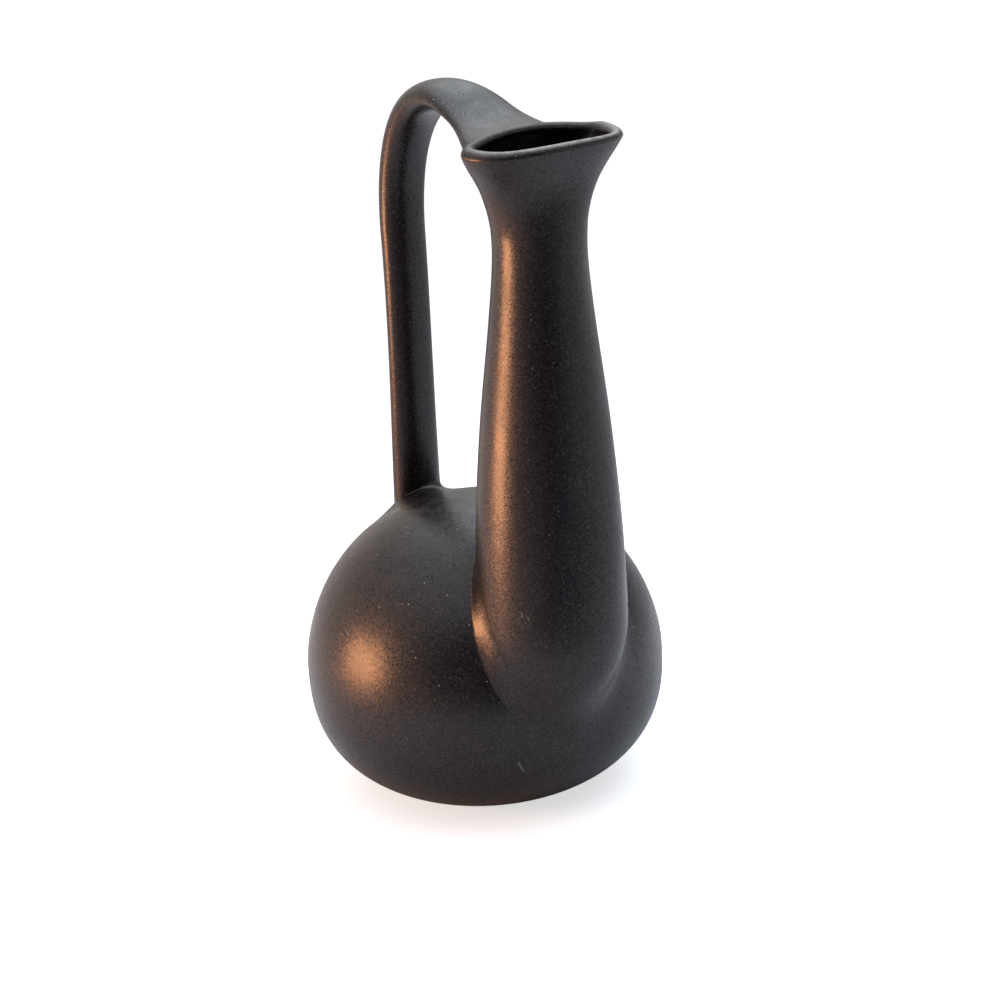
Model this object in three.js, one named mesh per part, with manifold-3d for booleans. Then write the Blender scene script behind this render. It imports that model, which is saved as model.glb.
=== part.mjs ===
// Glazed ceramic vase in the form of a tall-necked ewer, thrown in sections and luted together.
// Millimetres, +Z up, origin at the centre of the resting face, +X toward the neck, handle at -X.
import * as THREE from 'three';
import { mergeVertices } from 'three/examples/jsm/utils/BufferGeometryUtils.js';
import Module from 'manifold-3d';

const wasm = await Module();
wasm.setup();

// Body: a squat round belly closed by a low dome
const BELLY_RADIUS = 71.7;
const BELLY_HEIGHT = 51; // height of the widest place
const BODY_HEIGHT = 116; // top of the dome
const FOOT_RADIUS = 31; // outer edge of the flat resting face
const BODY_WALL = 4;
const SEAM_DROP = 13; // belly seam below the widest place
const PIERCED_RADIUS = 15; // hole cut through the dome inside the neck's footprint
const PIERCED_BACKSET = 9; // hole's centre behind the neck's root, toward the top of the dome
const UNDERSIDE_CURVE = [2.7, 1.57]; // powers of height and radius in the outline under the widest place
const DOME_CURVE = [1.8, 2.4]; // the same over the widest place

// Neck: a tapered tube that stands proud of the belly's front, its lower end rounded into the belly
const NECK_RADIUS = 28.6; // fullest radius, just above the root
const NECK_WALL = 3.6;
const NECK_PROUD = 16.6; // how far the root stands out past the belly
const NECK_RISE = 35; // fullest place of the neck above the widest place of the belly
const NECK_ROUNDING = 40; // drop of the rounded lower end below the fullest place
const NECK_TRIM = 2.8; // lower edge above the bottom of the rounding
const NECK_LEAN = 7; // backward lean from root to waist
const NECK_BOW = 6.2; // backward bow of the axis between root and waist
const NECK_ASIDE = 9.9; // root set to one side, as luted by hand
const WAIST_HEIGHT = 232;
const WAIST_RADIUS = 17.1;

// Mouth: a flared lip pinched front to back into a wide fishtail
const MOUTH_HEIGHT = 32;
const MOUTH_HALF_WIDTH = 33.5;
const LIP_FRONT = 23.9;
const LIP_BACK = 11.4;
const LIP_FORWARD = 2; // forward shift of the rim's centre past the waist
const LIP_TILT = 1.6; // front edge lower, back edge higher
const LIP_SADDLE = 3; // drop of the two ends below front and back
const LIP_CANT = 0.6; // one end a touch higher than the other, as pinched by hand
const LIP_WALL = 3.8;
const FLARE_CURVE = [1.38, 2.2]; // powers of the widening and of the pinch, from waist to rim

// Handle: an oval rod from the back of the lip to the back of the dome
const HANDLE_WIDTH = 19.6;
const HANDLE_DEPTH = 12;
const HANDLE_REACH = 35.8; // straight run behind the vase axis
const HANDLE_ARCH_HEIGHT = 45; // start of the head above the end of the straight run, less the rise
const HANDLE_RISE = 7.9; // head's height over the rim
const HEAD_BACKSET = 24.5; // start of the head behind the lip's back edge
const HEAD_WIDTH = 30;
const HEAD_DEPTH = 7.6;
const HEAD_WRAP = 0.95; // half angle of the lip that the head is pressed round, in radians
const HEAD_DROP = 16; // how far the head reaches down the back of the lip
const FOOT_SPREAD = 4.4; // growth of the rod's width at its foot
const ROD_FULLNESS = 2.06; // power of the rod's oval, 2 being an ellipse
const FOOT_INSET = 31.3; // foot in from the back of the belly
const ARCH_PULL = [0.6, 0.285, 0.8]; // pull of the arch's curve: back from the head, over it, up from the run
const RUN_PULL = [0.35, 0.15, 0.72]; // pull of the lower run's curve: down, inward at the foot, toward the foot

// Joints
const LUTE_GAP = 0.3; // slip joint between neighbouring pieces
const LAP_HEIGHT = 5; // half-lap at the belly seam and the waist
const NECK_COIL_LEG = 5.5; // at the sides and behind
const NECK_COIL_FRONT = 12; // drawn out in front, where the neck runs into the belly
const HANDLE_COIL_LEG = 4;
const COIL_FILL = 0.35; // how far a coil's hollow is filled, 0 to 1
const COIL_HEEL = 0.9; // how far a coil starts behind the corner, before it is cut to the pieces

const SEAM_HEIGHT = BELLY_HEIGHT - SEAM_DROP;
const NECK_X = BELLY_RADIUS - NECK_RADIUS + NECK_PROUD;
const WAIST_X = NECK_X - NECK_LEAN;
const RIM_HEIGHT = WAIST_HEIGHT + MOUTH_HEIGHT;
const RIM_X = WAIST_X + LIP_FORWARD;
const NECK_FULL = BELLY_HEIGHT + NECK_RISE;
const NECK_BOTTOM = NECK_FULL - NECK_ROUNDING;
const NECK_FOOT = NECK_BOTTOM + NECK_TRIM;

const ROUND = 48; // facets round the body, neck and mouth
const ROD = 24; // facets round the handle

// Smooth curve through stations [position, value]
function through(stations) {
  const last = stations.length - 1;
  const slope = stations.map((_, i) => {
    const a = stations[Math.max(i - 1, 0)];
    const b = stations[Math.min(i + 1, last)];
    return (b[1] - a[1]) / (b[0] - a[0]);
  });
  return (t) => {
    let i = 0;
    while (i < last - 1 && t > stations[i + 1][0]) {
      i += 1;
    }
    const h = stations[i + 1][0] - stations[i][0];
    const s = (t - stations[i][0]) / h;
    const rise = s * s * (3 - 2 * s);
    const start = s * (1 - s) * (1 - s) * h;
    const end = s * s * (1 - s) * h;
    return stations[i][1] * (1 - rise) + stations[i + 1][1] * rise + slope[i] * start - slope[i + 1] * end;
  };
}

function steps(count, from, to) {
  return Array.from({ length: count + 1 }, (_, i) => from + ((to - from) * i) / count);
}

// Geometry helpers
function tidy(geometry) {
  geometry.deleteAttribute('normal');
  if (geometry.attributes.uv) {
    geometry.deleteAttribute('uv');
  }
  const merged = mergeVertices(geometry, 1e-4);
  const index = merged.index.array;
  const p = merged.attributes.position;
  const keep = [];
  let volume = 0;
  const [a, b, c] = [new THREE.Vector3(), new THREE.Vector3(), new THREE.Vector3()];
  for (let i = 0; i < index.length; i += 3) {
    const [u, v, w] = [index[i], index[i + 1], index[i + 2]];
    if (u !== v && v !== w && w !== u) {
      keep.push(u, v, w);
      a.fromBufferAttribute(p, u);
      b.fromBufferAttribute(p, v);
      c.fromBufferAttribute(p, w);
      volume += a.dot(b.cross(c));
    }
  }
  if (volume < 0) {
    keep.reverse();
  }
  merged.setIndex(keep);
  return merged;
}

// Closed skin over equal rings of points; wrapped joins the last ring to the first
function skin(rings, wrapped) {
  const n = rings[0].length;
  const points = rings.flat();
  const index = [];
  const bands = wrapped ? rings.length : rings.length - 1;
  for (let i = 0; i < bands; i += 1) {
    const j = (i + 1) % rings.length;
    for (let k = 0; k < n; k += 1) {
      const m = (k + 1) % n;
      index.push(i * n + k, i * n + m, j * n + m);
      index.push(i * n + k, j * n + m, j * n + k);
    }
  }
  if (!wrapped) {
    for (const end of [0, rings.length - 1]) {
      const centre = new THREE.Vector3();
      rings[end].forEach((q) => centre.addScaledVector(q, 1 / n));
      points.push(centre);
      for (let k = 0; k < n; k += 1) {
        const pair = [end * n + k, end * n + ((k + 1) % n)];
        if (end === 0) {
          pair.reverse();
        }
        index.push(pair[0], pair[1], points.length - 1);
      }
    }
  }
  const geometry = new THREE.BufferGeometry().setFromPoints(points);
  geometry.setIndex(index);
  return tidy(geometry);
}

function turned(profile) {
  const geometry = new THREE.LatheGeometry(profile, ROUND);
  geometry.rotateX(Math.PI / 2);
  return tidy(geometry);
}

function solid(geometry) {
  const vertProperties = new Float32Array(geometry.attributes.position.array);
  const triVerts = new Uint32Array(geometry.index.array);
  return new wasm.Manifold(new wasm.Mesh({ numProp: 3, vertProperties, triVerts }));
}

function toGeometry(manifold) {
  const mesh = manifold.getMesh();
  const geometry = new THREE.BufferGeometry();
  geometry.setAttribute('position', new THREE.BufferAttribute(new Float32Array(mesh.vertProperties), 3));
  geometry.setIndex(Array.from(mesh.triVerts));
  return geometry;
}

// Belly outline: full rounded underside, domed top
function bellyRadius(z) {
  if (z <= BELLY_HEIGHT) {
    const t = 1 - Math.max(z, 0) / BELLY_HEIGHT;
    const share = (1 - t ** UNDERSIDE_CURVE[0]) ** (1 / UNDERSIDE_CURVE[1]);
    return FOOT_RADIUS + (BELLY_RADIUS - FOOT_RADIUS) * share;
  }
  const s = Math.min((z - BELLY_HEIGHT) / (BODY_HEIGHT - BELLY_HEIGHT), 1);
  return BELLY_RADIUS * (1 - s ** DOME_CURVE[0]) ** (1 / DOME_CURVE[1]);
}

// Profile point at height z, moved into the wall by depth
function wallPoint(z, depth) {
  if (z >= BODY_HEIGHT) {
    return new THREE.Vector2(0, BODY_HEIGHT - depth);
  }
  const h = 0.01;
  const low = Math.max(z - h, 0);
  const slope = (bellyRadius(z + h) - bellyRadius(low)) / (z + h - low);
  const length = Math.hypot(1, slope);
  const r = bellyRadius(z) - depth / length;
  return new THREE.Vector2(Math.max(r, 0), z + (depth * slope) / length);
}

const underside = (count, top) =>
  steps(count, 0, Math.acos(1 - top / BELLY_HEIGHT)).map((a) => BELLY_HEIGHT * (1 - Math.cos(a)));
const dome = (count) =>
  steps(count, 0, Math.PI / 2).map((a) => BELLY_HEIGHT + (BODY_HEIGHT - BELLY_HEIGHT) * Math.sin(a));

// Signed field of the body's outer surface: positive outside
function bodyField(p) {
  const r = Math.hypot(p.x, p.y) / BELLY_RADIUS;
  if (p.z <= BELLY_HEIGHT) {
    return r - bellyRadius(p.z) / BELLY_RADIUS;
  }
  const rise = (p.z - BELLY_HEIGHT) / (BODY_HEIGHT - BELLY_HEIGHT);
  return r ** DOME_CURVE[1] + rise ** DOME_CURVE[0] - 1;
}

function bodyGradient(p) {
  const h = 0.02;
  const g = new THREE.Vector3();
  for (const axis of ['x', 'y', 'z']) {
    const a = p.clone();
    const b = p.clone();
    a[axis] += h;
    b[axis] -= h;
    g[axis] = (bodyField(a) - bodyField(b)) / (2 * h);
  }
  return g;
}

function ontoBody(p) {
  const q = p.clone();
  for (let i = 0; i < 8; i += 1) {
    const g = bodyGradient(q);
    q.addScaledVector(g, -bodyField(q) / g.lengthSq());
  }
  return q;
}

function bodySolid(depth) {
  const heights = [...underside(12, BELLY_HEIGHT), ...dome(20).slice(1)];
  const profile = heights.map((z) => wallPoint(z, depth));
  return solid(turned([new THREE.Vector2(0, depth), ...profile]));
}

// Bowl: thrown lower half with a flat base and the outer half of the seam lap
function bowl() {
  const half = (BODY_WALL - LUTE_GAP) / 2;
  const ledge = SEAM_HEIGHT - LAP_HEIGHT;
  const profile = [
    new THREE.Vector2(0, 0),
    ...underside(12, SEAM_HEIGHT).map((z) => wallPoint(z, 0)),
    wallPoint(SEAM_HEIGHT, half),
    wallPoint(ledge, half),
    ...underside(8, ledge).reverse().map((z) => wallPoint(z, BODY_WALL)),
    new THREE.Vector2(0, BODY_WALL),
    new THREE.Vector2(0, 0),
  ];
  return turned(profile);
}

// Shoulder: domed upper half, its lap sits inside the bowl's rim, pierced under the neck
function shoulder() {
  const half = (BODY_WALL + LUTE_GAP) / 2;
  const seam = SEAM_HEIGHT + LUTE_GAP;
  const lap = seam - LAP_HEIGHT;
  const top = dome(13);
  const profile = [
    wallPoint(lap, half),
    wallPoint(seam, half),
    wallPoint(seam, 0),
    wallPoint((seam + BELLY_HEIGHT) / 2, 0),
    ...top.map((z) => wallPoint(z, 0)),
    ...top.slice().reverse().map((z) => wallPoint(z, BODY_WALL)),
    wallPoint(seam, BODY_WALL),
    wallPoint(lap, BODY_WALL),
    wallPoint(lap, half),
  ];
  const hole = new THREE.CylinderGeometry(PIERCED_RADIUS, PIERCED_RADIUS, BODY_HEIGHT, 32);
  hole.rotateX(Math.PI / 2);
  hole.translate(NECK_X - PIERCED_BACKSET, neckY(NECK_FULL), BODY_HEIGHT);
  return toGeometry(solid(turned(profile)).subtract(solid(tidy(hole))));
}

// Neck: round sections of changing radius about a leaning axis, the lowest ones rounded off like an egg
const neckTaper = through([
  [-0.23, 0.92], [0, 1], [0.23, 0.92], [0.5, 0.64], [0.78, 0.21], [0.93, 0.03], [1.05, 0],
]);
const neckShare = (z) => (z - BELLY_HEIGHT) / (WAIST_HEIGHT - BELLY_HEIGHT);

function neckX(z) {
  const share = neckShare(z);
  return NECK_X - NECK_LEAN * share - NECK_BOW * (share - Math.max(share, 0) ** 1.5);
}

function neckY(z) {
  return NECK_ASIDE * (neckShare(z) - 1);
}

function neckRadius(z) {
  if (z < NECK_FULL) {
    const drop = (NECK_FULL - z) / NECK_ROUNDING;
    return NECK_RADIUS * Math.sqrt(Math.max(1 - drop * drop, 0));
  }
  const rise = (z - NECK_FULL) / (WAIST_HEIGHT - NECK_FULL);
  return WAIST_RADIUS + (NECK_RADIUS - WAIST_RADIUS) * neckTaper(rise);
}

// Point of the neck's skin, moved square into the wall by depth
function neckPoint(z, angle, depth) {
  const h = 0.01;
  const slope = (neckRadius(z + h) - neckRadius(z - h)) / (2 * h);
  const r = neckRadius(z) - depth * Math.hypot(1, slope);
  return new THREE.Vector3(neckX(z) + r * Math.cos(angle), neckY(z) + r * Math.sin(angle), z);
}

const angles = steps(ROUND, 0, 2 * Math.PI).slice(0, ROUND);
const neckRing = (z, depth) => angles.map((a) => neckPoint(z, a, depth));
const neckHeights = (root, tube, top) => [
  ...steps(root, NECK_FOOT, NECK_FULL),
  ...steps(tube, NECK_FULL, top).slice(1),
];

function neck(body) {
  const half = (NECK_WALL - LUTE_GAP) / 2;
  const ledge = WAIST_HEIGHT - LAP_HEIGHT;
  const rings = [
    ...neckHeights(6, 9, WAIST_HEIGHT).map((z) => neckRing(z, 0)),
    neckRing(WAIST_HEIGHT, half),
    neckRing(ledge, half),
    ...neckHeights(4, 4, ledge).reverse().map((z) => neckRing(z, NECK_WALL)),
  ];
  return toGeometry(solid(skin(rings, true)).subtract(body));
}

function neckBlank() {
  return solid(skin(neckHeights(6, 9, WAIST_HEIGHT).map((z) => neckRing(z, -LUTE_GAP)), false));
}

// Mouth: waist circle opening into a wide, shallow, front-heavy oval
function mouthPoint(share, angle, depth) {
  const wide = share ** FLARE_CURVE[0];
  const pinch = share ** FLARE_CURVE[1];
  const c = Math.cos(angle);
  const s = Math.sin(angle);
  const across = WAIST_RADIUS + (MOUTH_HALF_WIDTH - WAIST_RADIUS) * wide - depth;
  const reach = c > 0 ? LIP_FRONT : LIP_BACK;
  const along = WAIST_RADIUS + (reach - WAIST_RADIUS) * pinch - depth;
  const lift = share * share * (LIP_SADDLE * (0.5 - s * s) - LIP_TILT * c + LIP_CANT * s);
  const x = WAIST_X + (RIM_X - WAIST_X) * share ** 2 + along * c;
  return new THREE.Vector3(x, across * s, WAIST_HEIGHT + MOUTH_HEIGHT * share + lift);
}

function mouthRing(share, depth, raise) {
  return angles.map((a) => mouthPoint(share, a, depth).add(new THREE.Vector3(0, 0, raise)));
}

function mouth() {
  const half = (NECK_WALL + LUTE_GAP) / 2;
  const seam = WAIST_HEIGHT + LUTE_GAP;
  const lap = seam - LAP_HEIGHT;
  const wall = (share) => NECK_WALL + (LIP_WALL - NECK_WALL) * share;
  const shares = [0.12, 0.25, 0.4, 0.55, 0.7, 0.85, 1];
  const rings = [
    neckRing(seam, 0),
    ...shares.map((t) => mouthRing(t, 0, 0)),
    ...[0.25, 0.5, 0.75].map((f) => rollRing(f * Math.PI, 0)),
    ...shares.slice().reverse().map((t) => mouthRing(t, wall(t), 0)),
    neckRing(seam, NECK_WALL),
    neckRing(lap, NECK_WALL),
    neckRing(lap, half),
    neckRing(seam, half),
  ];
  return skin(rings, true);
}

// Rolled rim: half a turn from the outer wall over the crest to the inner wall
function rollRing(turn, grow) {
  const r = LIP_WALL / 2;
  return mouthRing(1, r - (r + grow) * Math.cos(turn), (r + grow) * Math.sin(turn));
}

// Filled mouth up to the crest of its rim, for cutting the handle's head to the lip
function mouthBlank() {
  const rings = [0, 0.12, 0.25, 0.4, 0.55, 0.7, 0.85, 1].map((t) => mouthRing(t, -LUTE_GAP, 0));
  rings.push(rollRing(Math.PI / 4, LUTE_GAP), rollRing(Math.PI / 2, LUTE_GAP));
  return solid(skin(rings, false));
}

// Cosine and sine on the rod's full oval
function full(value) {
  return Math.sign(value) * Math.abs(value) ** (2 / ROD_FULLNESS);
}

// Handle: two Bezier runs in the plane of symmetry
const headX = RIM_X - LIP_BACK - HEAD_BACKSET;
const headZ = RIM_HEIGHT + HANDLE_RISE;
const runZ = headZ - HANDLE_ARCH_HEIGHT - HANDLE_RISE;
const footX = FOOT_INSET - BELLY_RADIUS;
const footZ = (() => {
  const share = (1 - (-footX / BELLY_RADIUS) ** DOME_CURVE[1]) ** (1 / DOME_CURVE[0]);
  return BELLY_HEIGHT + (BODY_HEIGHT - BELLY_HEIGHT) * share - 2 * BODY_WALL;
})();
const planar = (x, z) => new THREE.Vector3(x, 0, z);
const rodPath = new THREE.CurvePath();
rodPath.add(new THREE.CubicBezierCurve3(
  planar(headX, headZ),
  planar(headX - ARCH_PULL[0] * (headX + HANDLE_REACH), headZ + ARCH_PULL[1] * (headZ - runZ)),
  planar(-HANDLE_REACH, runZ + ARCH_PULL[2] * (headZ - runZ)),
  planar(-HANDLE_REACH, runZ),
));
rodPath.add(new THREE.CubicBezierCurve3(
  planar(-HANDLE_REACH, runZ),
  planar(-HANDLE_REACH, runZ + RUN_PULL[0] * (footZ - runZ)),
  planar(footX + RUN_PULL[1] * (-HANDLE_REACH - footX), runZ + RUN_PULL[2] * (footZ - runZ)),
  planar(footX, footZ),
));
const rodWidth = through([
  [0, HEAD_WIDTH / 2],
  [0.12, HANDLE_WIDTH * 0.61],
  [0.3, HANDLE_WIDTH * 0.51],
  [0.65, HANDLE_WIDTH / 2],
  [1, (HANDLE_WIDTH + FOOT_SPREAD) / 2],
]);
const rodDepth = through([
  [0, HEAD_DEPTH / 2],
  [0.12, HANDLE_DEPTH * 0.51],
  [0.3, HANDLE_DEPTH * 0.56],
  [0.65, HANDLE_DEPTH / 2],
  [1, (HANDLE_DEPTH + FOOT_SPREAD) / 2],
]);

function ovalPoint(path, share, halfWidth, halfDepth, angle) {
  const centre = path.getPointAt(share);
  const tangent = path.getTangentAt(share);
  const u = full(Math.cos(angle)) * halfDepth;
  const y = full(Math.sin(angle)) * halfWidth;
  return new THREE.Vector3(centre.x - tangent.z * u, y, centre.z + tangent.x * u);
}

function rodPoint(share, angle, depth) {
  return ovalPoint(rodPath, share, rodWidth(share) - depth, rodDepth(share) - depth, angle);
}

const rodAngles = steps(ROD, 0, 2 * Math.PI).slice(0, ROD);
const rodRings = (depth) => steps(30, 0, 1).map((t) => rodAngles.map((a) => rodPoint(t, a, depth)));

function handle(body) {
  return toGeometry(solid(skin(rodRings(0), false)).subtract(body));
}

// Handle head: the rod's end spread wide, its top run level onto the rim's crest and its underside turned
// down the back of the lip; every point of the rod's oval follows its own curve to the lip
function handleHead() {
  const ahead = rodPath.getTangentAt(0).multiplyScalar(-1);
  const curves = rodAngles.map((a) => {
    const under = (1 + Math.cos(a)) / 2;
    const from = rodPoint(0, a, 0).addScaledVector(ahead, LUTE_GAP);
    const share = 1 - (HEAD_DROP / MOUTH_HEIGHT) * under;
    const to = mouthPoint(share, Math.PI - HEAD_WRAP * full(Math.sin(a)), LIP_WALL / 2);
    to.z += (LIP_WALL / 2 + LUTE_GAP) * (1 - under);
    const reach = from.distanceTo(to) / 3;
    const arrive = planar(1 - 0.3 * under, -0.7 * under).normalize(); // level on top, slanting down below
    return new THREE.CubicBezierCurve3(
      from,
      from.clone().addScaledVector(ahead, reach),
      to.clone().addScaledVector(arrive, -reach),
      to,
    );
  });
  const rings = steps(12, 0, 1).map((t) => curves.map((c) => c.getPoint(t)));
  return toGeometry(solid(skin(rings, false)).subtract(mouthBlank()));
}

// Luting coil: clay worked into the angle between a tube and the body
function coil(tube, low, high, turns, leg) {
  const seat = (angle) => {
    let [a, b] = [low, high];
    for (let i = 0; i < 40; i += 1) {
      const m = (a + b) / 2;
      if (bodyField(tube(m, angle)) * bodyField(tube(high, angle)) > 0) {
        b = m;
      } else {
        a = m;
      }
    }
    return b;
  };
  const sections = turns.map((angle) => {
    const at = seat(angle);
    const corner = tube(at, angle);
    const before = tube(seat(angle - 0.05), angle - 0.05);
    const after = tube(seat(angle + 0.05), angle + 0.05);
    const along = after.sub(before).normalize();
    const step = (high - low) * 0.01;
    const up = tube(at + step, angle).sub(corner);
    const top = tube(at + (step * leg(angle)) / up.length(), angle);
    const side = tube(at, angle + 0.05).sub(tube(at, angle - 0.05));
    const out = side.cross(up).normalize();
    const normal = bodyGradient(corner).normalize();
    const away = along.cross(normal).normalize();
    if (away.dot(out) < 0) {
      away.negate();
    }
    const toe = ontoBody(corner.clone().addScaledVector(away, leg(angle)));
    const middle = top.clone().add(toe).multiplyScalar(0.5);
    const pull = corner.clone().lerp(middle, COIL_FILL);
    const arc = new THREE.QuadraticBezierCurve3(top, pull, toe).getPoints(4);
    const heel = corner.clone().addScaledVector(out, -COIL_HEEL).addScaledVector(normal, -COIL_HEEL);
    return [...arc, heel];
  });
  return solid(skin(sections, true));
}

function neckCoil(body) {
  const leg = (angle) => NECK_COIL_LEG + (NECK_COIL_FRONT - NECK_COIL_LEG) * Math.max(Math.cos(angle), 0) ** 2;
  const ring = coil((z, a) => neckPoint(z, a, 0), NECK_BOTTOM, WAIST_HEIGHT, angles, leg);
  return toGeometry(ring.subtract(neckBlank()).subtract(body));
}

function handleFootCoil(body) {
  const ring = coil((t, a) => rodPoint(t, a, 0), 1, 0.7, rodAngles, () => HANDLE_COIL_LEG);
  return toGeometry(ring.subtract(solid(skin(rodRings(-LUTE_GAP), false))).subtract(body));
}

// Assembly: one named mesh for each piece of clay, all under the same bronze-black glaze
const group = new THREE.Group();
group.name = 'ceramic_vase';

function add(name, geometry, colour) {
  const material = new THREE.MeshStandardMaterial({ color: colour, roughness: 0.4, metalness: 0.3 });
  material.name = 'glaze_' + name;
  const shaped = geometry.toNonIndexed();
  shaped.computeVertexNormals();
  const mesh = new THREE.Mesh(shaped, material);
  mesh.name = name;
  group.add(mesh);
}

const seatBody = bodySolid(-LUTE_GAP);
add('bowl', bowl(), 0x2c2623);
add('shoulder', shoulder(), 0x2f2926);
add('neck', neck(seatBody), 0x2a2422);
add('mouth', mouth(), 0x302b29);
add('handle', handle(seatBody), 0x2d2725);
add('handle_head', handleHead(), 0x322d2b);
add('neck_coil', neckCoil(seatBody), 0x2b2624);
add('handle_foot_coil', handleFootCoil(seatBody), 0x2e2927);

export default group;
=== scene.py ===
# %% [markdown]
# # A bronze-black ewer vase
#
# The vase is one piece of fired clay that a potter put together from eight pieces: two halves of the belly,
# the neck, the pinched mouth, the pulled handle with its spread head, and two rolls of clay worked into the
# angles. Under the glaze no joint shows, so each piece here ends exactly where the next one starts, or dips
# under it at a flat angle. The lengths are metres, in the same frame as the construction model.

# %% Load the construction model
import bmesh
import bpy
import math
from mathutils import Matrix, Vector


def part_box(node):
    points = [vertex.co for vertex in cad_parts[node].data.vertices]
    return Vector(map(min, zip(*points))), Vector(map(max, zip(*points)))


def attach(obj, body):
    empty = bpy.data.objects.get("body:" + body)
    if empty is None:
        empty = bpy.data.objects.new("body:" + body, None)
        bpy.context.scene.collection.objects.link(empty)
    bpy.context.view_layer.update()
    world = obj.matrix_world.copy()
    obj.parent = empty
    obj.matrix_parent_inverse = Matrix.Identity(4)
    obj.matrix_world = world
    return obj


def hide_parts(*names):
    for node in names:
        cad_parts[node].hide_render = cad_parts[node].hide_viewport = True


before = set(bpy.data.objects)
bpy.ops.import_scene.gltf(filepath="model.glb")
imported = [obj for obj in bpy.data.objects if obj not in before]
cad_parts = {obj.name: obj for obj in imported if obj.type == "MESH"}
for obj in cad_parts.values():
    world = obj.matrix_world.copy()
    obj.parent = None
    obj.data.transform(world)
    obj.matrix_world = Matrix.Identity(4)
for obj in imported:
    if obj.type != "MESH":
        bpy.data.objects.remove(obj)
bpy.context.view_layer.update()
MM = 0.001
print("construction model:", sorted(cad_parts))

# %% [markdown]
# ## The camera
#
# The photographer stood in front of the vase and to its left, a little above the rim, and held the camera
# slightly turned. A camera can be aimed by a constraint, but this view also has a small roll, so its axes are
# written out: where it looks from, and then three small turns of the hand about its own axes.

# %% Camera at the photograph's place
VIEW_TURN = math.radians(54.851)
VIEW_HEIGHT = math.radians(16.425)
VIEW_DISTANCE = 896.22 * MM
VIEW_TARGET = Vector((0, 0, 150 * MM))
HAND_YAW = math.radians(0.644)
HAND_PITCH = math.radians(2.124)
HAND_ROLL = math.radians(3.995)
FOCAL_PIXELS = 2286.46
IMAGE_WIDTH = 1000
SENSOR_WIDTH = 36
NEAR_LIMIT = 0.05

toward_camera = Vector((
    math.sin(VIEW_TURN) * math.cos(VIEW_HEIGHT),
    -math.cos(VIEW_TURN) * math.cos(VIEW_HEIGHT),
    math.sin(VIEW_HEIGHT),
))
camera_right = Vector((math.cos(VIEW_TURN), math.sin(VIEW_TURN), 0))
camera_axes = Matrix((camera_right, toward_camera.cross(camera_right), toward_camera))
for angle, axis in ((HAND_YAW, "Y"), (HAND_PITCH, "X"), (HAND_ROLL, "Z")):
    camera_axes = Matrix.Rotation(angle, 3, axis) @ camera_axes

bpy.ops.object.select_all(action="DESELECT")
bpy.ops.object.camera_add()
camera = bpy.context.object
camera.matrix_world = Matrix.LocRotScale(
    VIEW_TARGET + VIEW_DISTANCE * toward_camera, camera_axes.transposed(), None
)
camera.data.sensor_width = SENSOR_WIDTH
camera.data.lens = FOCAL_PIXELS / IMAGE_WIDTH * SENSOR_WIDTH
camera.data.clip_start = NEAR_LIMIT
bpy.context.scene.camera = camera
print("camera at", tuple(round(c, 3) for c in camera.location), "lens", round(camera.data.lens, 1))

# %% [markdown]
# ## Two ways to model round clay
#
# A thrown pot is a turned form, so the belly is made as on a wheel: one vertex is extruded along the outline
# and the outline is spun once round the axis. The neck, mouth and handle aren't turned about one axis. They
# are made ring by ring: a circle is added, its edge is extruded, and each new ring is laid on its own outline.
# A mark on every vertex of the first circle is copied along by extrude, so each point keeps its place.

# %% Wheel and ring tools
SMOOTH_ANGLE = math.radians(50)
MERGE_DISTANCE = 0.002 * MM


def begin(name):
    piece = bpy.context.object
    piece.name = name + "_clay"
    piece.data.name = piece.name
    bpy.ops.object.mode_set(mode="EDIT")
    bpy.ops.mesh.select_all(action="SELECT")
    return piece


def face_outwards(piece):
    bpy.ops.mesh.select_all(action="SELECT")
    bpy.ops.mesh.remove_doubles(threshold=MERGE_DISTANCE)
    bpy.ops.mesh.normals_make_consistent(inside=False)
    bpy.ops.object.mode_set(mode="OBJECT")
    bpy.ops.object.shade_smooth_by_angle(angle=SMOOTH_ANGLE)
    print(piece.name, len(piece.data.polygons), "faces")
    return piece


def throw(name, outline, steps):
    """Turned piece from an outline of (radius, height) that starts and ends on the axis."""
    bpy.ops.object.select_all(action="DESELECT")
    bpy.ops.mesh.primitive_plane_add(size=MM, location=(0, 0, 0))
    piece = begin(name)
    bpy.ops.mesh.merge(type="CENTER")
    bpy.ops.transform.translate(value=(outline[0][0], 0, outline[0][1]))
    for (r0, z0), (r1, z1) in zip(outline, outline[1:]):
        bpy.ops.mesh.extrude_vertices_move(TRANSFORM_OT_translate={"value": (r1 - r0, 0, z1 - z0)})
    bpy.ops.mesh.select_all(action="SELECT")
    bpy.ops.mesh.spin(steps=steps, angle=2 * math.pi, center=(0, 0, 0), axis=(0, 0, 1))
    return face_outwards(piece)


def lay(piece, ring, highlight_shares):
    mesh = bmesh.from_edit_mesh(piece.data)
    place = mesh.verts.layers.int["place"]
    edge_highlight = mesh.verts.layers.float["edge_highlight"]
    for vertex in mesh.verts:
        if vertex.select:
            vertex.co = ring[vertex[place]]
            vertex[edge_highlight] = highlight_shares[vertex[place]]
    bmesh.update_edit_mesh(piece.data)


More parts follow.
